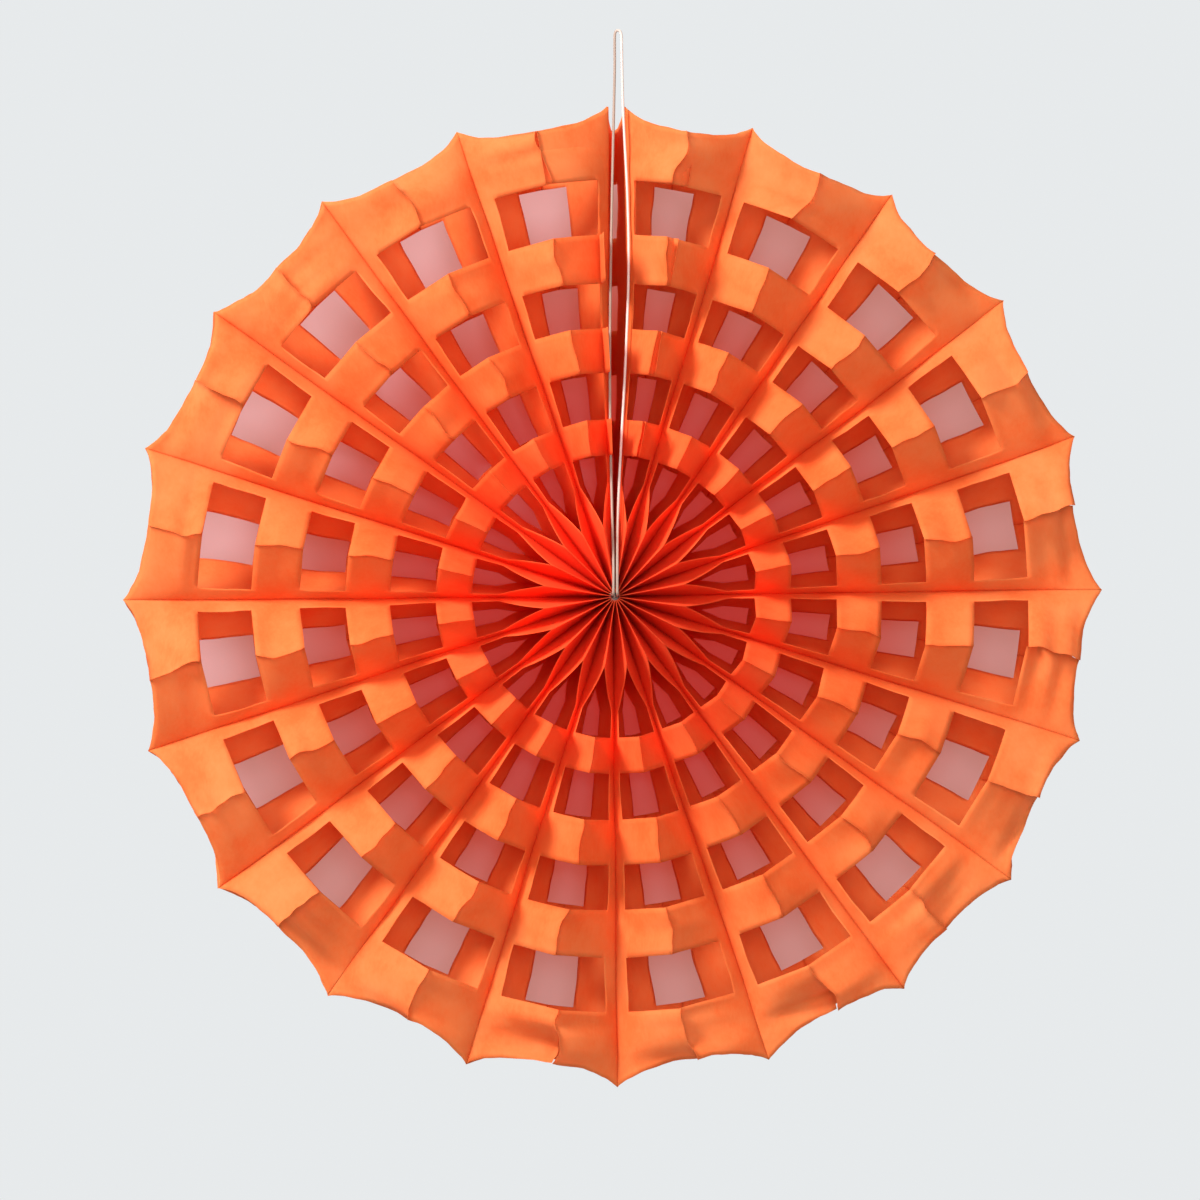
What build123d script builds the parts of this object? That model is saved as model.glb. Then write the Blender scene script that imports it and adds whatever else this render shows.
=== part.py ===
"""Paper fan rosette: die-cut tissue sheets glued into a honeycomb disc that hangs from a thread loop.

The disc stands upright and faces -Y, with +Z up.  Each honeycomb cell is two sheets, glued to
each other along their front and back edges (ridges) and to the next cells along a line part way
between (seams).  The sheets are drawn in the fan's own plane: its z is the axis, toward the front.
"""
import os
from math import atan, cos, pi, radians, sin, sqrt, tan

from build123d import *

os.makedirs("parts", exist_ok=True)

# Overall sizes (mm, degrees)
tip_radius = 200.0  # seam line at the rim
rim_sag = 8.2  # how far the rim draws in at a ridge
cell_count = 20
closing_angle = 2.1  # narrow cell left where the fan closes on itself
closing_direction = 89.55  # its middle, counted from +X toward +Z
front_rim_height = 12.5  # front ridge ahead of the seam, at the rim
back_rim_height = 33.0  # back ridge behind the seam, at the rim

# Sheet
sheet_thickness = 0.2
glue_half_band = 2.0  # half width of the glued strip along a seam
edge_lip = 1.6  # glued lip along a ridge
cover_gap = 0.3  # between an end sheet's front and the neighbour it lies on
front_uncut = 9.9  # sheet left between a seam and a front cut-out
back_uncut = 30.5  # sheet left between a seam and a back cut-out
cut_corner_radius = 1.2

# Cut-outs along the sheet, from the axis outward
front_point_radius = 28.5  # where the pointed cut-out opens on the front ridge
back_point_radius = 38.0  # and on the back ridge
point_shoulder_radius = 47.0  # where it reaches its full depth
point_end_radius = 57.7
window_starts = (72.4, 109.6, 147.6)
window_lengths = (18.8, 18.4, 22.1)
least_rim_flap = 10.0  # a window stays clear of the rim by this
closing_rim_drop = 8.0  # end sheets' back corners are this much shorter

# Hanging thread
thread_diameter = 1.1
knot_length = 4.0
knot_clearance = 0.4
strand_gap = 0.5  # between the two strands inside the core

# Worked out from the sizes above
half_cell = (360.0 - closing_angle) / cell_count / 2.0
half_closing = closing_angle / 2.0
slope = tan(radians(half_cell / 2.0))
closing_slope = tan(radians(half_cell / 2.0 + half_closing))
seam_reach = tip_radius * cos(radians(half_cell / 2.0))
core_radius = 2.1 * sheet_thickness / (2.0 * slope)
end_sheet_start = 1.15 * sheet_thickness / (closing_slope - slope)
rim_chord = 2.0 * seam_reach * slope
front_width = sqrt(front_rim_height**2 + rim_chord**2)
back_width = sqrt(back_rim_height**2 + rim_chord**2)
ridge_rim_radius = tip_radius - rim_sag
windows = [
    (start, start + length)
    for start, length in zip(window_starts, window_lengths)
    if start + length <= ridge_rim_radius - least_rim_flap
]
front_depth = front_width + edge_lip
back_depth = back_width + edge_lip
seam_offset = (back_depth - front_depth) / 2.0  # puts the disc's middle on the origin
rim_margin = 3.0  # blanks run this far past the tips before the rim is cut
core_stops = 5  # sections through the steep part of a sheet near the core

fan_plane = Plane(origin=(0, -seam_offset, 0), x_dir=(1, 0, 0), z_dir=(0, -1, 0))


def station_plane(x):
    """Plane across a sheet at distance x; its own x runs round the fan, its own y forward."""
    return Plane(origin=(x, 0, 0), x_dir=(0, 1, 0), z_dir=(1, 0, 0))


def panel(x, flat_width):
    """Ridge height and steepness of a panel of this flat width, at distance x."""
    chord = 2.0 * x * slope
    height = sqrt(flat_width**2 - chord**2)
    steepness = atan((height - glue_half_band) / (chord - sheet_thickness))
    return height, steepness


def panel_side(x, flat_width):
    """Outline of one slanted panel, from the inner face of the seam strip round to the outer."""
    ridge = x * slope
    chord = 2.0 * ridge
    height, steepness = panel(x, flat_width)
    rise = tan(steepness)
    skin = sheet_thickness / cos(steepness)
    return [
        (-ridge + sheet_thickness, glue_half_band + sheet_thickness * rise - skin),
        (ridge, glue_half_band + chord * rise - skin),
        (ridge, height + edge_lip),
        (ridge - sheet_thickness, height + edge_lip),
        (ridge - sheet_thickness, height),
        (-ridge, glue_half_band),
    ]


def sheet_section(x):
    """Whole section of a sheet: front panel, seam strip and back panel."""
    front = panel_side(x, front_width)
    back = [(y, -z) for y, z in panel_side(x, back_width)]
    return front + back[::-1]


def end_sheet_section(x):
    """Section of an end sheet: glued over its neighbour in front, slanting to the closing
    plane behind."""
    seam = -x * slope
    ridge = x * slope
    closing = -x * closing_slope
    height, steepness = panel(x, front_width)
    rise = tan(steepness)
    cover = sheet_thickness + cover_gap
    far_edge = ridge - sheet_thickness
    chord = seam - closing
    back_height = sqrt(back_width**2 - chord**2)
    back_rise = (back_height - glue_half_band) / (chord - sheet_thickness)
    back_skin = sheet_thickness * sqrt(1.0 + back_rise**2)
    return [
        (seam, glue_half_band + cover_gap / cos(steepness)),
        (far_edge - cover_gap * sin(steepness), height + cover_gap * cos(steepness)),
        (far_edge - cover * sin(steepness), height + cover * cos(steepness)),
        (seam - sheet_thickness, glue_half_band + cover / cos(steepness) - sheet_thickness * rise),
        (seam - sheet_thickness, -(glue_half_band + sheet_thickness * back_rise - back_skin)),
        (closing, -(glue_half_band + chord * back_rise - back_skin)),
        (closing, -(back_height + edge_lip)),
        (closing + sheet_thickness, -(back_height + edge_lip)),
        (closing + sheet_thickness, -back_height),
        (seam, -glue_half_band),
    ]


def free_flap_section(x):
    """Section of a flap that stands up from the margin instead of lying on its neighbour."""
    steepness = panel(x, front_width)[1]
    margin = front_uncut - glue_half_band
    fold = -x * slope + margin * cos(steepness) - cover_gap * sin(steepness)
    foot = glue_half_band + margin * sin(steepness) + cover_gap * cos(steepness)
    top = foot + front_width - front_uncut
    return [
        (fold, foot),
        (fold, top),
        (fold - sheet_thickness, top),
        (fold - sheet_thickness, foot - sheet_thickness * tan(steepness)),
    ]


def cut_line(x, flat_width, uncut):
    """Distance of a cut-out's floor from the seam plane."""
    steepness = panel(x, flat_width)[1]
    return glue_half_band + (uncut - glue_half_band) * sin(steepness)


def blank(section, start):
    """Uncut sheet: a ruled body through its sections, from the core to just past the tips."""
    core_step = (front_point_radius - end_sheet_start) / core_stops
    stops = {start, point_end_radius, (windows[-1][1] + seam_reach) / 2.0, seam_reach + rim_margin}
    stops.update(end_sheet_start + core_step * number for number in range(core_stops + 1))
    stops.update(end for begin, end in windows)
    with BuildPart() as body:
        for x in sorted(stops):
            with BuildSketch(station_plane(x)):
                Polygon(*section(x), align=None)
        loft(ruled=True)
    return body.part


def cut_outs(flat_width, uncut, point_radius, side):
    """Outlines of the cut-outs along one edge; side is 1 for the front and -1 for the back."""
    clear = flat_width + edge_lip + rim_margin
    shoulder = cut_line(point_shoulder_radius, flat_width, uncut)
    outlines = [
        [
            (point_radius, clear),
            (point_radius, flat_width),
            (point_shoulder_radius, shoulder),
            (point_end_radius, cut_line(point_end_radius, flat_width, uncut)),
            (point_end_radius, clear),
        ]
    ]
    for begin, end in windows:
        outlines.append(
            [
                (begin, clear),
                (begin, cut_line(begin, flat_width, uncut)),
                (end, cut_line(end, flat_width, uncut)),
                (end, clear),
            ]
        )
    return [[(x, side * z) for x, z in outline] for outline in outlines]


def die_cut(body, window_outlines, plain_outlines):
    """Cuts the windows, with rounded floors, any plain outline and the drawn-in rim."""
    tip_along = tip_radius * cos(radians(half_cell))
    tip_across = tip_radius * sin(radians(half_cell))
    sag = tip_along - ridge_rim_radius
    rim_curve = (tip_across**2 + sag**2) / (2.0 * sag)
    rim_centre = ridge_rim_radius + rim_curve
    ridge_angle = radians(half_cell / 2.0)
    depth = front_depth + back_depth
    with BuildPart() as cut:
        add(body)
        with BuildSketch(Plane.XZ) as window_cuts:
            for outline in window_outlines:
                Polygon(*outline, align=None)
            floors = window_cuts.vertices().filter_by(lambda corner: abs(corner.Z) < front_width - 1.0)
            fillet(floors, radius=cut_corner_radius)
        extrude(amount=tip_radius, both=True, mode=Mode.SUBTRACT)
        for outline in plain_outlines:
            with BuildSketch(Plane.XZ):
                Polygon(*outline, align=None)
            extrude(amount=tip_radius, both=True, mode=Mode.SUBTRACT)
        with BuildSketch(Plane.XY.offset(-depth)):
            with Locations((rim_centre * cos(ridge_angle), rim_centre * sin(ridge_angle))):
                Circle(rim_curve)
        extrude(amount=2.0 * depth, mode=Mode.SUBTRACT)
    return cut.part


front_cuts = cut_outs(front_width, front_uncut, front_point_radius, 1)
back_cuts = cut_outs(back_width, back_uncut, back_point_radius, -1)
wall = die_cut(blank(sheet_section, core_radius), [*front_cuts, *back_cuts], [])

# End sheets: their back corners at the rim are shorter, across the closing cell
closing_corner = [
    (tip_radius, -glue_half_band),
    (tip_radius - closing_rim_drop, -back_depth),
    (tip_radius + rim_margin, -back_depth),
    (tip_radius + rim_margin, -glue_half_band),
]
end_blank = blank(end_sheet_section, end_sheet_start)
glued_end = die_cut(end_blank, [*front_cuts, *back_cuts], [closing_corner])

# On one end sheet the flaps between the first cut-out and the last window stand free
flap_stops = [point_end_radius, *[stop for window in windows for stop in window]]
flap_bands = list(zip(flap_stops[0:-1:2], flap_stops[1::2]))
lift = [
    (flap_stops[0], front_depth + rim_margin),
    *[(x, cut_line(x, front_width, front_uncut)) for x in flap_stops],
    (flap_stops[-1], front_depth + rim_margin),
]
margin_sheet = die_cut(end_blank, [front_cuts[0], *back_cuts], [lift, closing_corner])
free_flaps = []
for begin, end in flap_bands:
    with BuildPart() as flap:
        for x in (begin, end):
            with BuildSketch(station_plane(x)):
                Polygon(*free_flap_section(x), align=None)
        loft(ruled=True)
    free_flaps.append(flap.part)
with BuildPart() as free_end:
    add(margin_sheet)
    add(free_flaps)


def write_sheet(number, shape, seam_direction, mirrored):
    """Turns one sheet into its place, mirrored where its ridge lies clockwise of its seam."""
    turn = half_cell / 2.0
    placed = shape.mirror(Plane.XZ) if mirrored else shape
    angle = seam_direction - turn if mirrored else seam_direction + turn
    with BuildPart() as sheet:
        add(placed.moved(fan_plane.location * Location((0, 0, 0), (0, 0, angle))))
    sheet.part.label = f"tissue_sheet_{number:02d}"
    export_step(sheet.part, f"parts/tissue_sheet_{number:02d}.step")


first_seam = closing_direction + half_closing
write_sheet(1, free_end.part, first_seam, False)
for cell in range(cell_count):
    seam = first_seam + 2.0 * half_cell * cell
    write_sheet(2 * cell + 2, wall, seam, False)
    write_sheet(2 * cell + 3, wall, seam + 2.0 * half_cell, True)
write_sheet(2 * cell_count + 2, glued_end, closing_direction - half_closing, True)

# Hanging thread: down one strand side, from the core up to the loop and back
strand_x = (thread_diameter + strand_gap) / 2.0
core_front = -seam_offset - front_depth
knot_front = core_front + 10.0
thread_route = [
    (-strand_x, knot_front, 0.0),
    (-strand_x, core_front - 1.2, 0.0),
    (-0.75, core_front - 1.7, 3.6),
    (-0.7, core_front - 1.0, 13.0),
    (-0.9, core_front + 15.0, 38.0),
    (-1.5, core_front + 23.0, 78.0),
    (-1.2, core_front + 26.0, 126.0),
    (-0.3, core_front + 28.0, 168.0),
    (0.4, core_front + 29.0, 200.0),
    (0.8, core_front + 29.5, 217.0),
    (0.7, core_front + 29.6, 226.0),
    (0.8, core_front + 29.6, 231.0),
    (3.4, core_front + 29.6, 231.0),
    (3.6, core_front + 29.5, 226.0),
    (3.7, core_front + 29.2, 216.0),
    (4.2, core_front + 29.0, 196.0),
    (6.0, core_front + 27.5, 164.0),
    (6.5, core_front + 25.0, 134.0),
    (5.0, core_front + 23.0, 95.0),
    (2.5, core_front + 17.0, 55.0),
    (1.2, core_front + 9.0, 30.0),
    (0.8, core_front - 1.0, 13.0),
    (0.75, core_front - 1.7, 3.6),
    (strand_x, core_front - 1.2, 0.0),
    (strand_x, knot_front, 0.0),
]
bend_share = 0.45


def bend_radii(route):
    """Largest radius each corner of the route allows."""
    corners = [Vector(*point) for point in route]
    radii = []
    for before, corner, after in zip(corners, corners[1:], corners[2:]):
        half_turn = radians((corner - before).get_angle(after - corner) / 2.0)
        shorter = min((corner - before).length, (after - corner).length)
        radii.append(bend_share * shorter / tan(half_turn))
    return radii


thread_radii = bend_radii(thread_route)
print("thread radii", [round(radius, 1) for radius in thread_radii])
with BuildPart() as hanging_loop:
    with BuildLine():
        thread_path = FilletPolyline(*thread_route, radius=thread_radii)
    with BuildSketch(Plane(thread_path @ 0, z_dir=thread_path % 0)):
        Circle(thread_diameter / 2.0)
    sweep()
hanging_loop.part.label = "hanging_loop"
export_step(hanging_loop.part, "parts/hanging_loop.step")
plain_volume = pi * thread_diameter**2 / 4.0 * thread_path.length
print("thread length", round(thread_path.length, 1))
print("thread volume share", round(hanging_loop.part.volume / plain_volume, 4))

# Knot that holds both strands inside the core
knot_radius = core_radius - knot_clearance
knot_plane = Plane(origin=(0, knot_front + knot_length, 0), x_dir=(1, 0, 0), z_dir=(0, -1, 0))
with BuildPart() as core_knot:
    with BuildSketch(knot_plane):
        Circle(knot_radius)
    extrude(amount=knot_length)
    fillet(core_knot.edges().filter_by(GeomType.CIRCLE), radius=knot_radius * 0.3)
core_knot.part.label = "core_knot"
export_step(core_knot.part, "parts/core_knot.step")
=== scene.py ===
from math import cos, pi, radians, sin

import bpy
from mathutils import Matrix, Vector


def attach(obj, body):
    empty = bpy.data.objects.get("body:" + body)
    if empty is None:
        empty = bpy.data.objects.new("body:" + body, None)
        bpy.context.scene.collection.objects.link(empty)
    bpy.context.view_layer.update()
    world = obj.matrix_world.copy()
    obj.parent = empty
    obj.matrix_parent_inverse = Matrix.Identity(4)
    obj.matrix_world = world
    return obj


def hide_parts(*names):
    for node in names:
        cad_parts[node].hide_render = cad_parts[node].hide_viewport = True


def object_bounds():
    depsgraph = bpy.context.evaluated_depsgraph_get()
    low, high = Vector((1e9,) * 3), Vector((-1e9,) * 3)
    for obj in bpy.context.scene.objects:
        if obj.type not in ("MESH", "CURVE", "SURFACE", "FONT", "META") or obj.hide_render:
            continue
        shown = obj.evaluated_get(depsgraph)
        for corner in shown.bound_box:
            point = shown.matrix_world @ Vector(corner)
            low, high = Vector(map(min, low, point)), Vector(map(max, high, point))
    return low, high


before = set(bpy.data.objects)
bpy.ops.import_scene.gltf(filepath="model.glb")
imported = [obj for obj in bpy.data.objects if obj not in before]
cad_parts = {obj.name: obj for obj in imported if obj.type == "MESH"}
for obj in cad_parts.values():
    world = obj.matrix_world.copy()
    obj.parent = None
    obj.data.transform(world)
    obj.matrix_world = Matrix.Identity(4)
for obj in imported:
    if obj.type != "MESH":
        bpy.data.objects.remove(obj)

cadLow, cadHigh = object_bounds()
mm = 0.001
scene = bpy.context.scene
scene.view_settings.view_transform = "Standard"
scene.cycles.diffuse_bounces = 10  # light passes from pleat to pleat many times

studio = {
    "aim": (-4.9 * mm, 0.0, -1.4 * mm),
    "distance": 4.6,
    "turn": radians(-1.8),
    "sensor": 36.0,
    "frameWidth": 490.8 * mm,
    "farEnd": 50.0,
    "keyPlace": (-2.1, -1.9, 1.8),
    "keySize": 1.1,
    "keyPower": 180,
    "fillPlace": (0.0, -3.1, 0.3),
    "fillSize": 1.6,
    "fillPower": 71,
    "airColour": (0.95, 0.97, 1.0, 1.0),
    "airStrength": 0.34,
    "wallColour": (0.80, 0.823, 0.835, 1.0),
    # painted shade: a darker pinkish wall colour for the fan's shadow, seen only behind the fan
    "paintedWallShade": (0.62, 0.44, 0.48, 1.0),
    # painted glow: an emission on the wall behind the fan stands in for light passed through and
    # bounced off the paper
    "paintedGlowShare": 0.70,
    "paintedGlowStrength": 1.08,
    "wallBehind": 8 * mm,
    "wallHalf": 3.0,
    "paintedGlowEdge": (0.176, 0.192),
    # how the painted glow on the wall turns from red to pink, by distance from the core in metres
    "paintedGlowStops": [
        (0.055, (0.52, 0.012, 0.004, 1.0)),
        (0.090, (0.54, 0.022, 0.008, 1.0)),
        (0.125, (0.55, 0.060, 0.030, 1.0)),
        (0.168, (0.56, 0.22, 0.18, 1.0)),
    ],
}


def makeCamera():
    data = bpy.data.cameras.new("studioCamera")
    data.sensor_width = studio["sensor"]
    data.lens = studio["sensor"] * studio["distance"] / studio["frameWidth"]
    camera = bpy.data.objects.new("studioCamera", data)
    scene.collection.objects.link(camera)
    aim = Vector(studio["aim"])
    away = Vector((sin(studio["turn"]), -cos(studio["turn"]), 0.0))
    camera.location = aim + away * studio["distance"]
    camera.rotation_euler = (-away).to_track_quat("-Z", "Y").to_euler()
    data.clip_end = studio["farEnd"]
    scene.camera = camera


def makeLamp(name, place, size, power):
    data = bpy.data.lights.new(name, "AREA")
    data.shape = "DISK"
    data.size = size
    data.energy = power
    lamp = bpy.data.objects.new(name, data)
    scene.collection.objects.link(lamp)
    lamp.location = place
    lamp.rotation_euler = (-Vector(place)).to_track_quat("-Z", "Y").to_euler()


makeCamera()
makeLamp("keyLamp", studio["keyPlace"], studio["keySize"], studio["keyPower"])
makeLamp("fillLamp", studio["fillPlace"], studio["fillSize"], studio["fillPower"])
print("camera and lamps ready")

thread = {
    "diameter": 1.1 * mm,
    "length": 0.4946,
    "roughness": 0.42,
    "shine": 0.35,
    "splitFrom": 0.2 * mm,
    "splitTo": 3.4 * mm,
    # lit and shaded copies of one thread colour: painted shade on the left strand, painted light on
    # the right
    "shadedLeftStrand": (0.32, 0.22, 0.17, 1.0),
    "litRightStrand": (0.62, 0.50, 0.44, 1.0),
}
coreFront = -41.1  # the front of the core, in millimetres
# out of the core, up the left strand, over the top of the loop and down the right strand
threadRoute = [
    (-0.8, coreFront + 10.0, 0.0),
    (-0.8, coreFront - 1.2, 0.0),
    (-0.75, coreFront - 1.7, 3.6),
    (-0.7, coreFront - 1.0, 13.0),
    (-0.9, coreFront + 15.0, 38.0),
    (-1.5, coreFront + 23.0, 78.0),
    (-1.2, coreFront + 26.0, 126.0),
    (-0.3, coreFront + 28.0, 168.0),
    (0.4, coreFront + 29.0, 200.0),
    (0.8, coreFront + 29.5, 217.0),
    (0.7, coreFront + 29.6, 226.0),
    (0.8, coreFront + 29.6, 231.0),
    (3.4, coreFront + 29.6, 231.0),
    (3.6, coreFront + 29.5, 226.0),
    (3.7, coreFront + 29.2, 216.0),
    (4.2, coreFront + 29.0, 196.0),
    (6.0, coreFront + 27.5, 164.0),
    (6.5, coreFront + 25.0, 134.0),
    (5.0, coreFront + 23.0, 95.0),
    (2.5, coreFront + 17.0, 55.0),
    (1.2, coreFront + 9.0, 30.0),
    (0.8, coreFront - 1.0, 13.0),
    (0.75, coreFront - 1.7, 3.6),
    (0.8, coreFront - 1.2, 0.0),
    (0.8, coreFront + 10.0, 0.0),
]


def makeThread():
    curve = bpy.data.curves.new("hangingThread", "CURVE")
    curve.dimensions = "3D"
    curve.bevel_depth = thread["diameter"] / 2.0
    curve.bevel_resolution = 4
    curve.resolution_u = 10
    curve.use_fill_caps = True
    spline = curve.splines.new("NURBS")
    spline.points.add(len(threadRoute) - 1)
    for point, (x, y, z) in zip(spline.points, threadRoute):
        point.co = (x * mm, y * mm, z * mm, 1.0)
    spline.order_u = 3
    spline.use_endpoint_u = True
    obj = bpy.data.objects.new("hangingThread", curve)
    scene.collection.objects.link(obj)
    return obj


def link(tree, out, into):
    tree.links.new(out, into)


def newMaterial(name):
    material = bpy.data.materials.new(name)
    material.use_nodes = True
    material.node_tree.nodes.clear()
    return material, material.node_tree


def ramp(tree, factor, stops):
    node = tree.nodes.new("ShaderNodeValToRGB")
    while len(node.color_ramp.elements) < len(stops):
        node.color_ramp.elements.new(0.5)
    for element, (place, colour) in zip(node.color_ramp.elements, stops):
        element.position = place
        element.color = colour
    link(tree, factor, node.inputs["Fac"])
    return node.outputs["Color"]


def noiseNode(tree, vector, scale, detail, roughness):
    node = tree.nodes.new("ShaderNodeTexNoise")
    node.inputs["Scale"].default_value = scale
    node.inputs["Detail"].default_value = detail
    node.inputs["Roughness"].default_value = roughness
    link(tree, vector, node.inputs["Vector"])
    return node.outputs["Fac"]


tissue = {
    "deep": (0.985, 0.245, 0.065, 1.0),
    "plain": (0.99, 0.30, 0.09, 1.0),
    "pale": (0.99, 0.345, 0.115, 1.0),
    "through": (1.0, 0.20, 0.045, 1.0),
    "throughPale": (1.0, 0.27, 0.070, 1.0),
    "throughShare": 0.48,
    # painted shade: multipliers by distance from the core that darken the paper and turn it red
    # towards the core
    "paintedCoreShadeStops": [
        (0.012, (1.0, 0.36, 0.32, 1.0)),
        (0.045, (1.0, 0.48, 0.40, 1.0)),
        (0.075, (0.96, 0.64, 0.50, 1.0)),
        (0.110, (0.92, 0.75, 0.58, 1.0)),
        (0.185, (0.90, 0.87, 0.78, 1.0)),
    ],
    "fibreScale": 700.0,
    "fibreStretch": (1.0, 1.0, 0.45),
    "fibreShare": 0.35,
    "cloudScale": 55.0,
    "bump": 0.16,
    "bumpHeight": 0.6 * mm,
    "roughness": 0.78,
    "shine": 0.18,
}


def paintedCoreShade(tree, colour, coreShadeTint):
    # painted shade and painted red bounce light: packed layers pass the light between them, so the
    # colour is multiplied deeper and redder towards the core, by distance from it
    node = tree.nodes.new("ShaderNodeMix")
    node.data_type = "RGBA"
    node.blend_type = "MULTIPLY"
    node.inputs["Factor"].default_value = 1.0
    link(tree, colour, node.inputs[6])
    link(tree, coreShadeTint, node.inputs[7])
    return node.outputs[2]


def makeTissue():
    material, tree = newMaterial("orangeTissue")
    nodes = tree.nodes
    coord = nodes.new("ShaderNodeTexCoord").outputs["Object"]
    stretch = nodes.new("ShaderNodeMapping")
    stretch.inputs["Scale"].default_value = tissue["fibreStretch"]
    link(tree, coord, stretch.inputs["Vector"])
    cloud = noiseNode(tree, coord, tissue["cloudScale"], 4.0, 0.6)
    fibre = noiseNode(tree, stretch.outputs["Vector"], tissue["fibreScale"], 3.0, 0.65)
    blend = nodes.new("ShaderNodeMath")
    blend.operation = "MULTIPLY_ADD"
    link(tree, fibre, blend.inputs[0])
    blend.inputs[1].default_value = tissue["fibreShare"]
    link(tree, cloud, blend.inputs[2])
    paperStops = [(0.50, tissue["deep"]), (0.66, tissue["plain"]), (0.84, tissue["pale"])]
    colour = ramp(tree, blend.outputs[0], paperStops)
    bump = nodes.new("ShaderNodeBump")
    bump.inputs["Strength"].default_value = tissue["bump"]
    bump.inputs["Distance"].default_value = tissue["bumpHeight"]
    link(tree, blend.outputs[0], bump.inputs["Height"])
    flatten = nodes.new("ShaderNodeVectorMath")
    flatten.operation = "MULTIPLY"
    flatten.inputs[1].default_value = (1.0, 0.0, 1.0)
    link(tree, coord, flatten.inputs[0])
    radius = nodes.new("ShaderNodeVectorMath")
    radius.operation = "LENGTH"
    link(tree, flatten.outputs["Vector"], radius.inputs[0])
    # painted shade, darker and redder towards the core, on both the reflected and the passed-through
    # colour
    coreShadeTint = ramp(tree, radius.outputs["Value"], tissue["paintedCoreShadeStops"])
    colour = paintedCoreShade(tree, colour, coreShadeTint)
    paper = nodes.new("ShaderNodeBsdfPrincipled")
    paper.inputs["Roughness"].default_value = tissue["roughness"]
    paper.inputs["Specular IOR Level"].default_value = tissue["shine"]
    link(tree, colour, paper.inputs["Base Color"])
    link(tree, bump.outputs["Normal"], paper.inputs["Normal"])
    glow = nodes.new("ShaderNodeBsdfTranslucent")
    throughStops = [(0.42, tissue["through"]), (0.95, tissue["throughPale"])]
    throughColour = ramp(tree, blend.outputs[0], throughStops)
    link(tree, paintedCoreShade(tree, throughColour, coreShadeTint), glow.inputs["Color"])
    mix = nodes.new("ShaderNodeMixShader")
    mix.inputs["Fac"].default_value = tissue["throughShare"]
    link(tree, paper.outputs[0], mix.inputs[1])
    link(tree, glow.outputs[0], mix.inputs[2])
    out = nodes.new("ShaderNodeOutputMaterial")
    link(tree, mix.outputs[0], out.inputs["Surface"])
    return material


def makeNylon():
    material, tree = newMaterial("clearThread")
    nodes = tree.nodes
    coord = nodes.new("ShaderNodeTexCoord").outputs["Object"]
    split = nodes.new("ShaderNodeSeparateXYZ")
    link(tree, coord, split.inputs[0])
    strand = nodes.new("ShaderNodeMapRange")
    strand.inputs["From Min"].default_value = thread["splitFrom"]
    strand.inputs["From Max"].default_value = thread["splitTo"]
    link(tree, split.outputs["X"], strand.inputs["Value"])
    # painted shade: the left strand is seen against paper and is painted darker than the right one, by
    # its place along x
    strandStops = [(0.2, thread["shadedLeftStrand"]), (0.8, thread["litRightStrand"])]
    colour = ramp(tree, strand.outputs["Result"], strandStops)
    nylon = nodes.new("ShaderNodeBsdfPrincipled")
    nylon.inputs["Roughness"].default_value = thread["roughness"]
    nylon.inputs["Specular IOR Level"].default_value = thread["shine"]
    link(tree, colour, nylon.inputs["Base Color"])
    out = nodes.new("ShaderNodeOutputMaterial")
    link(tree, nylon.outputs[0], out.inputs["Surface"])
    return material


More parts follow.
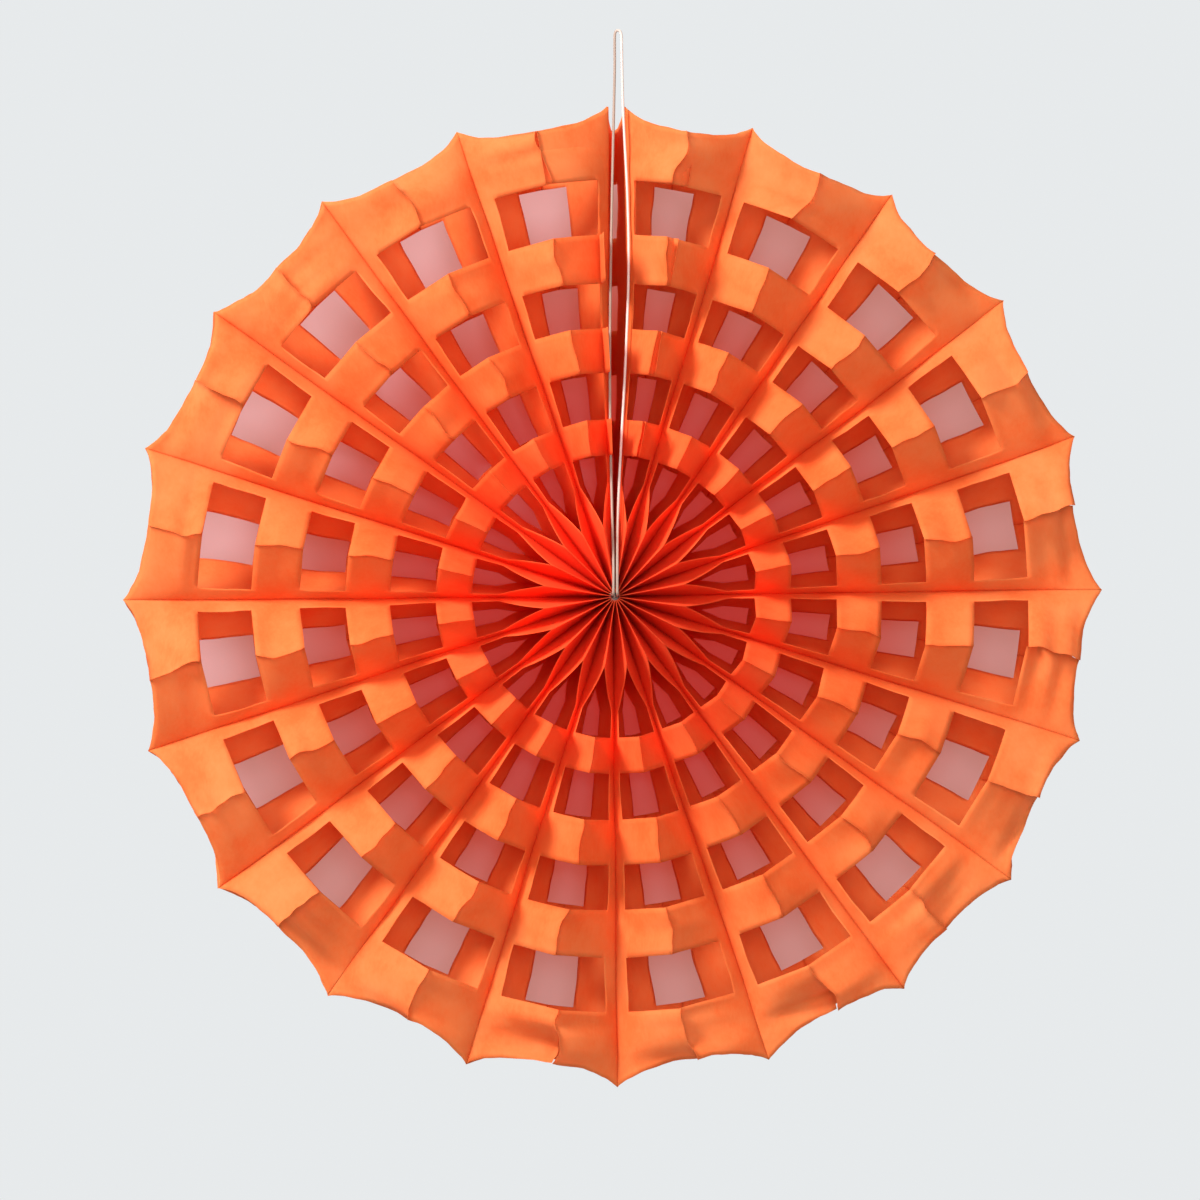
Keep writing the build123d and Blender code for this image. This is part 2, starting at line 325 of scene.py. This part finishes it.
def makeWallWithPaintedGlow():
    material, tree = newMaterial("paleWallPaintedGlow")
    nodes = tree.nodes
    coord = nodes.new("ShaderNodeTexCoord").outputs["Object"]
    length = nodes.new("ShaderNodeVectorMath")
    length.operation = "LENGTH"
    link(tree, coord, length.inputs[0])
    outer = nodes.new("ShaderNodeMapRange")
    outer.inputs["From Min"].default_value, outer.inputs["From Max"].default_value = studio["paintedGlowEdge"]
    outer.interpolation_type = "SMOOTHSTEP"
    link(tree, length.outputs["Value"], outer.inputs["Value"])
    paint = nodes.new("ShaderNodeBsdfDiffuse")
    paint.inputs["Color"].default_value = studio["wallColour"]
    # painted shade: a darker wall diffuse, used only behind the fan
    shaded = nodes.new("ShaderNodeBsdfDiffuse")
    shaded.inputs["Color"].default_value = studio["paintedWallShade"]
    # painted glow: an emission on the wall close behind the fan stands in for the glow of the paper,
    # redder towards the middle, mixed with painted shade
    glow = nodes.new("ShaderNodeEmission")
    paintedGlowColour = ramp(tree, length.outputs["Value"], studio["paintedGlowStops"])
    link(tree, paintedGlowColour, glow.inputs["Color"])
    glow.inputs["Strength"].default_value = studio["paintedGlowStrength"]
    behind = nodes.new("ShaderNodeMixShader")
    behind.inputs["Fac"].default_value = studio["paintedGlowShare"]
    link(tree, shaded.outputs[0], behind.inputs[1])
    link(tree, glow.outputs[0], behind.inputs[2])
    flat = nodes.new("ShaderNodeEmission")
    flat.inputs["Color"].default_value = studio["wallColour"]
    front = nodes.new("ShaderNodeMixShader")
    link(tree, outer.outputs["Result"], front.inputs["Fac"])
    link(tree, behind.outputs[0], front.inputs[1])
    link(tree, flat.outputs[0], front.inputs[2])
    # camera, glossy and transmission rays see the painted glow and painted shade; diffuse rays see the
    # plain pale paint
    path = nodes.new("ShaderNodeLightPath")
    seen = nodes.new("ShaderNodeMath")
    seen.operation = "MAXIMUM"
    link(tree, path.outputs["Is Camera Ray"], seen.inputs[0])
    link(tree, path.outputs["Is Glossy Ray"], seen.inputs[1])
    seenToo = nodes.new("ShaderNodeMath")
    seenToo.operation = "MAXIMUM"
    link(tree, seen.outputs[0], seenToo.inputs[0])
    link(tree, path.outputs["Is Transmission Ray"], seenToo.inputs[1])
    mix = nodes.new("ShaderNodeMixShader")
    link(tree, seenToo.outputs[0], mix.inputs["Fac"])
    link(tree, paint.outputs[0], mix.inputs[1])
    link(tree, front.outputs[0], mix.inputs[2])
    # from behind, the wall is not there
    facing = nodes.new("ShaderNodeNewGeometry")
    clear = nodes.new("ShaderNodeBsdfTransparent")
    oneSided = nodes.new("ShaderNodeMixShader")
    link(tree, facing.outputs["Backfacing"], oneSided.inputs["Fac"])
    link(tree, mix.outputs[0], oneSided.inputs[1])
    link(tree, clear.outputs[0], oneSided.inputs[2])
    out = nodes.new("ShaderNodeOutputMaterial")
    link(tree, oneSided.outputs[0], out.inputs["Surface"])
    return material


def makeStage():
    wall = bpy.data.meshes.new("studioWall")
    half, back = studio["wallHalf"], cadHigh[1] + studio["wallBehind"]
    corners = [(-half, back, -half), (half, back, -half), (half, back, half), (-half, back, half)]
    wall.from_pydata(corners, [], [(0, 1, 2, 3)])
    wallObject = bpy.data.objects.new("studioWall", wall)
    scene.collection.objects.link(wallObject)
    wall.materials.append(makeWallWithPaintedGlow())
    world = bpy.data.worlds.new("studioAir")
    scene.world = world
    world.use_nodes = True
    tree = world.node_tree
    tree.nodes.clear()
    room = tree.nodes.new("ShaderNodeBackground")
    room.inputs["Color"].default_value = studio["airColour"]
    room.inputs["Strength"].default_value = studio["airStrength"]
    pale = tree.nodes.new("ShaderNodeBackground")
    pale.inputs["Color"].default_value = studio["wallColour"]
    path = tree.nodes.new("ShaderNodeLightPath")
    choice = tree.nodes.new("ShaderNodeMixShader")
    link(tree, path.outputs["Is Camera Ray"], choice.inputs["Fac"])
    link(tree, room.outputs[0], choice.inputs[1])
    link(tree, pale.outputs[0], choice.inputs[2])
    out = tree.nodes.new("ShaderNodeOutputWorld")
    link(tree, choice.outputs[0], out.inputs["Surface"])


makeStage()
orangeTissue = makeTissue()
clearThread = makeNylon()
print("materials ready")

hangingThread = makeThread()
hangingThread.data.materials.append(clearThread)
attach(hangingThread, "root")
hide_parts("hanging_loop")
knot = bpy.data.objects["core_knot"]
knot.data.materials.clear()
knot.data.materials.append(clearThread)
print("thread ready")


class Field:
    tree = None

    def __init__(self, socket):
        self.socket = socket

    def calc(self, operation, *others):
        node = Field.tree.nodes.new("ShaderNodeMath")
        node.operation = operation
        for slot, value in zip(node.inputs, (self, *others)):
            if isinstance(value, Field):
                link(Field.tree, value.socket, slot)
            else:
                slot.default_value = value
        return Field(node.outputs[0])

    def __add__(self, other):
        return self.calc("ADD", other)

    def __sub__(self, other):
        return self.calc("SUBTRACT", other)

    def __mul__(self, other):
        return self.calc("MULTIPLY", other)

    def __truediv__(self, other):
        return self.calc("DIVIDE", other)

    def __gt__(self, other):
        return self.calc("GREATER_THAN", other)

    def __lt__(self, other):
        return self.calc("LESS_THAN", other)

    def power(self, other):
        return self.calc("POWER", other)

    def most(self, other):
        return self.calc("MAXIMUM", other)

    def least(self, other):
        return self.calc("MINIMUM", other)

    def root(self):
        return self.calc("SQRT")

    def size(self):
        return self.calc("ABSOLUTE")

    def sine(self):
        return self.calc("SINE")

    def cosine(self):
        return self.calc("COSINE")

    def clamped(self):
        return self.most(0.0).least(1.0)

    def mix(self, low, high):
        # low where this field is 0 and high where it is 1
        node = Field.tree.nodes.new("ShaderNodeMix")
        link(Field.tree, self.socket, node.inputs[0])
        for slot, value in zip((node.inputs[2], node.inputs[3]), (low, high)):
            if isinstance(value, Field):
                link(Field.tree, value.socket, slot)
            else:
                slot.default_value = value
        return Field(node.outputs[0])


def combine(x, y, z):
    node = Field.tree.nodes.new("ShaderNodeCombineXYZ")
    for slot, value in zip(node.inputs, (x, y, z)):
        if isinstance(value, Field):
            link(Field.tree, value.socket, slot)
        else:
            slot.default_value = value
    return node.outputs[0]


def parts(vector):
    node = Field.tree.nodes.new("ShaderNodeSeparateXYZ")
    link(Field.tree, vector, node.inputs[0])
    return [Field(out) for out in node.outputs]


def wander(vector, scale, seed, detail):
    # smooth noise about zero, in four dimensions so that a seed can tell pieces apart
    node = Field.tree.nodes.new("ShaderNodeTexNoise")
    node.noise_dimensions = "4D"
    node.inputs["Scale"].default_value = scale
    node.inputs["Detail"].default_value = detail
    link(Field.tree, vector, node.inputs["Vector"])
    if isinstance(seed, Field):
        link(Field.tree, seed.socket, node.inputs["W"])
    else:
        node.inputs["W"].default_value = seed
    return Field(node.outputs["Fac"]) - 0.5, node.outputs["Color"]


def stepped(count, stops):
    # piecewise straight run through (count, value) stops; a value may be a field
    total = Field(Field.tree.nodes.new("ShaderNodeValue").outputs[0])
    total.socket.default_value = 0.0
    total = total + stops[0][1]
    for (start, low), (end, high) in zip(stops, stops[1:]):
        share = ((count - float(start)) / float(end - start)).clamped()
        if isinstance(low, Field) and not isinstance(high, Field):
            rise = (low - high) * -1.0
        else:
            rise = high - low
        total = total + share * rise
    return total


fan = {
    "cells": 20,
    "closing": 2.1,
    "closingMiddle": 89.55,
    "slack": 2.7,
    "tip": 200.0 * mm,
    "rimSag": 8.2 * mm,
    "inner": 1.6 * mm,
    "frontWidth": 33.6 * mm,
    "backWidth": 45.4 * mm,
    "lip": 1.3 * mm,
    "band": 2.0 * mm,
    "frontUncut": 9.9 * mm,
    "backUncut": 30.5 * mm,
    "frontPoint": 28.5 * mm,
    "backPoint": 38.0 * mm,
    "shoulder": 47.0 * mm,
    "seamDepth": 5.9 * mm,
    "paper": 0.09 * mm,
    "inset": 0.047 * mm,
    "ragged": 2.0 * mm,
    "raggedScale": 60.0,
    "gapLeft": 0.8 * mm,
    "gapRight": -3.0 * mm,
    "gapFrom": 20 * mm,
    "gapTo": 185 * mm,
    "frontBelly": 1.22,
    "backBelly": 1.12,
    # the wander of the ridge lines, fading out towards the core
    "ridgeDrift": radians(6.5),
    "ridgeScale": 42.0,
    "ridgeSeed": 3.7,
    "backDriftShare": 0.35,
    "driftFrom": 20 * mm,
    "driftRun": 70 * mm,
    # the free flaps and the covering front of the end sheets
    "flapLean": 0.8 * mm,
    "flapClear": 0.5 * mm,
    "coverClear": 0.35 * mm,
    # unevenness that all sheets share, and what each has of its own
    "sharedScale": 17.0,
    "sharedSeed": 1.3,
    "sharedAmount": [2.0 * mm, 2.0 * mm, 3.4 * mm],
    "ownScale": 52.0,
    "ownAmount": [0.5 * mm, 0.5 * mm, 1.2 * mm],
    "unevenFrom": 12 * mm,
    "unevenRun": 60 * mm,
}
# where the cut-outs start and end, as distances from the core
cutStops = [57.7 * mm, 72.4 * mm, 91.2 * mm, 109.6 * mm, 128.0 * mm, 147.6 * mm, 169.7 * mm]
# how finely each stretch along and across a sheet is divided
rowCounts = [16, 8, 7, 8, 8, 8, 8, 9, 12]
columnCounts = [2, 9, 14, 2, 7, 12, 2]
rowEdges = [sum(rowCounts[:n]) for n in range(len(rowCounts) + 1)]
columnEdges = [sum(columnCounts[:n]) for n in range(len(columnCounts) + 1)]
halfCell = radians((360.0 - fan["closing"]) / fan["cells"] / 2.0)


def makeSheetTree():
    tree = bpy.data.node_groups.new("tissueSheet", "GeometryNodeTree")
    Field.tree = tree
    face = tree.interface
    names = ["Seam", "Front Ridge", "Back Ridge", "Inset", "Cover", "Free", "Shift", "Seed"]
    for name in names:
        face.new_socket(name, in_out="INPUT", socket_type="NodeSocketFloat")
    face.new_socket("Geometry", in_out="OUTPUT", socket_type="NodeSocketGeometry")
    start = tree.nodes.new("NodeGroupInput")
    given = {name: Field(start.outputs[name]) for name in names}
    rows, columns = rowEdges[-1], columnEdges[-1]
    grid = tree.nodes.new("GeometryNodeMeshGrid")
    grid.inputs["Size X"].default_value = rows
    grid.inputs["Size Y"].default_value = columns
    grid.inputs["Vertices X"].default_value = rows + 1
    grid.inputs["Vertices Y"].default_value = columns + 1
    x, y = parts(tree.nodes.new("GeometryNodeInputPosition").outputs[0])[:2]
    row = x + rows / 2.0
    column = y + columns / 2.0
    back, front, lip, band = fan["backWidth"], fan["frontWidth"], fan["lip"], fan["band"]
    across = stepped(column, list(zip(columnEdges, [
        -back - lip, -back, -fan["backUncut"], -band, band, fan["frontUncut"], front, front + lip])))
    isFront = across > 0.0
    width = isFront.mix(back, front)
    uncut = isFront.mix(fan["backUncut"], fan["frontUncut"])
    point = isFront.mix(fan["backPoint"], fan["frontPoint"])
    reach = across.size()
    panelShare = ((reach - band) / (width - band)).clamped()
    slant = ((reach - uncut) / (width - uncut)).clamped()
    notch = slant.mix(fan["shoulder"], point)
    rim = (panelShare * -1.0 + 1.0).power(2.0) * fan["rimSag"] + (fan["tip"] - fan["rimSag"])
    ragged = wander(combine(across, 0.0, 0.0), fan["raggedScale"], given["Seed"], 2.0)[0]
    rim = rim + ragged * fan["ragged"] * 2.0
    along = stepped(row, list(zip(rowEdges, [fan["inner"], notch, *cutStops, rim])))

    # ridge lines wander a little, alike for the two sheets that share one
    ridge = isFront.mix(given["Back Ridge"], given["Front Ridge"])
    seam = given["Seam"]
    ridgePoint = combine(along * ridge.cosine(), along * ridge.sine(), isFront * 0.2)
    drift = wander(ridgePoint, fan["ridgeScale"], fan["ridgeSeed"], 2.0)[0] * fan["ridgeDrift"]
    fade = ((along - fan["driftFrom"]) / fan["driftRun"]).clamped()
    looseFront = isFront * (given["Cover"] * -1.0 + 1.0)
    looseBack = (isFront * -1.0 + 1.0) * fan["backDriftShare"]
    ridge = ridge + drift * fade * (looseFront + looseBack)
    sweep = ridge - seam
    belly = isFront.mix(fan["backBelly"], fan["frontBelly"])
    turned = panelShare.power(belly)
    angle = seam + sweep * turned
    spread = along * sweep.size() * 0.999
    height = (width * width - spread * spread).most(1e-5).root()
    rise = (height - band) * panelShare.power(0.9) + reach.least(band) + (reach - width).most(0.0)
    radius = along * (sweep * 0.5).cosine() / (sweep * (turned - 0.5)).cosine()
    side = isFront * 2.0 - 1.0
    out = rise * side

    # a free flap turns up from the margin; a covering front lies just over its neighbour
    isFlap = (column > columnEdges[5] - 0.5) * (row > rowEdges[2] - 0.5) * (row < rowEdges[7] + 0.5)
    isFlap = isFlap * given["Free"] * isFront
    foldShare = (fan["frontUncut"] - band) / (front - band)
    foldAngle = seam + sweep * (foldShare ** fan["frontBelly"])
    foldOut = (height - band) * (foldShare ** 0.9) + band
    lean = (reach - fan["frontUncut"]) / (front - fan["frontUncut"])
    stand = foldOut + (reach - fan["frontUncut"]) * 0.96
    leanReach = lean.power(1.6) * fan["flapLean"] + given["Cover"] * fan["flapClear"]
    leanAngle = foldAngle - leanReach / along
    angle = isFlap.mix(angle, leanAngle)
    out = isFlap.mix(out, stand)
    onFront = isFront * given["Cover"] * (isFlap * -1.0 + 1.0)
    out = out + onFront * panelShare * fan["coverClear"]
    turnSign = sweep / sweep.size().most(1e-4)
    angle = angle - onFront * turnSign * fan["coverClear"] / along

    # the two seams beside the closing gap bow apart about half way out
    bow = ((along - fan["gapFrom"]) / (fan["gapTo"] - fan["gapFrom"])).clamped() * pi
    angle = angle + given["Shift"] * bow.sine() * (panelShare * -1.0 + 1.0) / along

    # own side of the glue lines, then the shared and the sheet's own unevenness
    angle = angle + given["Inset"] / along
    flat = combine(radius * angle.cosine(), radius * angle.sine(), out)
    fx, fy, fz = parts(flat)
    soft = ((along - fan["unevenFrom"]) / fan["unevenRun"]).clamped()
    shared = parts(wander(flat, fan["sharedScale"], fan["sharedSeed"], 1.0)[1])
    own = parts(wander(flat, fan["ownScale"], given["Seed"], 2.0)[1])
    mask = panelShare * (panelShare * -1.0 + 1.0) * 4.0 * soft
    moved = [
        base + (low - 0.5) * soft * a + (fine - 0.5) * mask * b
        for base, low, fine, a, b in zip(
            (fx, fy, fz), shared, own, fan["sharedAmount"], fan["ownAmount"])
    ]
    place = combine(moved[0], (moved[2] + fan["seamDepth"]) * -1.0, moved[1])
    setPlace = tree.nodes.new("GeometryNodeSetPosition")
    link(tree, place, setPlace.inputs["Position"])

    # cut-outs: bands of rows, from the margin out to either edge
    cut = None
    for low, high in ((1, 2), (3, 4), (5, 6), (7, 8)):
        inBand = (row > rowEdges[low] + 0.01) * (row < rowEdges[high] - 0.01)
        cut = inBand if cut is None else cut + inBand
    beyond = (column > columnEdges[5] + 0.01) + (column < columnEdges[2] - 0.01)
    remove = tree.nodes.new("GeometryNodeDeleteGeometry")
    remove.domain = "FACE"
    capture = tree.nodes.new("GeometryNodeCaptureAttribute")
    capture.domain = "FACE"
    capture.capture_items.new("FLOAT", "cut")
    link(tree, (cut * beyond).socket, capture.inputs[1])
    link(tree, grid.outputs["Mesh"], capture.inputs["Geometry"])
    link(tree, capture.outputs["Geometry"], setPlace.inputs["Geometry"])
    link(tree, setPlace.outputs["Geometry"], remove.inputs["Geometry"])
    link(tree, (Field(capture.outputs[1]) > 0.5).socket, remove.inputs["Selection"])
    smooth = tree.nodes.new("GeometryNodeSetShadeSmooth")
    link(tree, remove.outputs[0], smooth.inputs["Geometry"])
    realize = tree.nodes.new("GeometryNodeRealizeInstances")
    link(tree, smooth.outputs[0], realize.inputs[0])
    paint = tree.nodes.new("GeometryNodeSetMaterial")
    paint.inputs["Material"].default_value = orangeTissue
    link(tree, realize.outputs[0], paint.inputs[0])
    end = tree.nodes.new("NodeGroupOutput")
    link(tree, paint.outputs[0], end.inputs[0])
    return tree


sheetTree = makeSheetTree()
sheetSockets = {
    item.name: item.identifier
    for item in sheetTree.interface.items_tree
    if item.in_out == "INPUT"
}
print("sheet tree ready:", len(sheetTree.nodes), "nodes")


def makeSheet(number, values):
    host = bpy.data.objects.new("host", bpy.data.meshes.new("host"))
    scene.collection.objects.link(host)
    modifier = host.modifiers.new("sheet", "NODES")
    modifier.node_group = sheetTree
    for name, value in values.items():
        modifier[sheetSockets[name]] = value
    graph = bpy.context.evaluated_depsgraph_get()
    mesh = bpy.data.meshes.new_from_object(host.evaluated_get(graph))
    bpy.data.objects.remove(host)
    name = f"tissueSheet{number:02d}"
    mesh.name = name
    sheet = bpy.data.objects.new(name, mesh)
    scene.collection.objects.link(sheet)
    if not mesh.materials:
        mesh.materials.append(orangeTissue)
    thick = sheet.modifiers.new("paper", "SOLIDIFY")
    thick.thickness = fan["paper"]
    thick.offset = 0.0
    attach(sheet, "root")
    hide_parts(f"tissue_sheet_{number:02d}")


def seamAt(count):
    # the cells open a little wider towards the end of the turn, and the last one makes up for it
    slack = fan["slack"] * (count / (fan["cells"] - 1.0)) ** 1.5 if count < fan["cells"] else 0.0
    return radians(fan["closingMiddle"] + fan["closing"] / 2.0 + slack) + 2.0 * halfCell * count


closingLine = radians(fan["closingMiddle"])
lastSeam = seamAt(fan["cells"])
makeSheet(1, {
    "Seam": seamAt(0), "Front Ridge": seamAt(0) + halfCell, "Back Ridge": closingLine,
    "Inset": -fan["inset"], "Cover": 1.0, "Free": 1.0, "Shift": fan["gapLeft"], "Seed": 1.0})
for cell in range(fan["cells"]):
    ridgeLine = (seamAt(cell) + seamAt(cell + 1)) / 2.0
    makeSheet(2 * cell + 2, {
        "Seam": seamAt(cell), "Front Ridge": ridgeLine, "Back Ridge": ridgeLine,
        "Inset": fan["inset"], "Cover": 0.0, "Free": 0.0,
        "Shift": fan["gapLeft"] if cell == 0 else 0.0, "Seed": 2.0 * cell + 2.0})
    makeSheet(2 * cell + 3, {
        "Seam": seamAt(cell + 1), "Front Ridge": ridgeLine, "Back Ridge": ridgeLine,
        "Inset": -fan["inset"], "Cover": 0.0, "Free": 0.0,
        "Shift": fan["gapRight"] if cell == fan["cells"] - 1 else 0.0, "Seed": 2.0 * cell + 3.0})
makeSheet(2 * fan["cells"] + 2, {
    "Seam": lastSeam, "Front Ridge": lastSeam - halfCell, "Back Ridge": closingLine + 2.0 * pi,
    "Inset": fan["inset"], "Cover": 1.0, "Free": 0.0, "Shift": fan["gapRight"], "Seed": 42.0})
print("sheets ready")
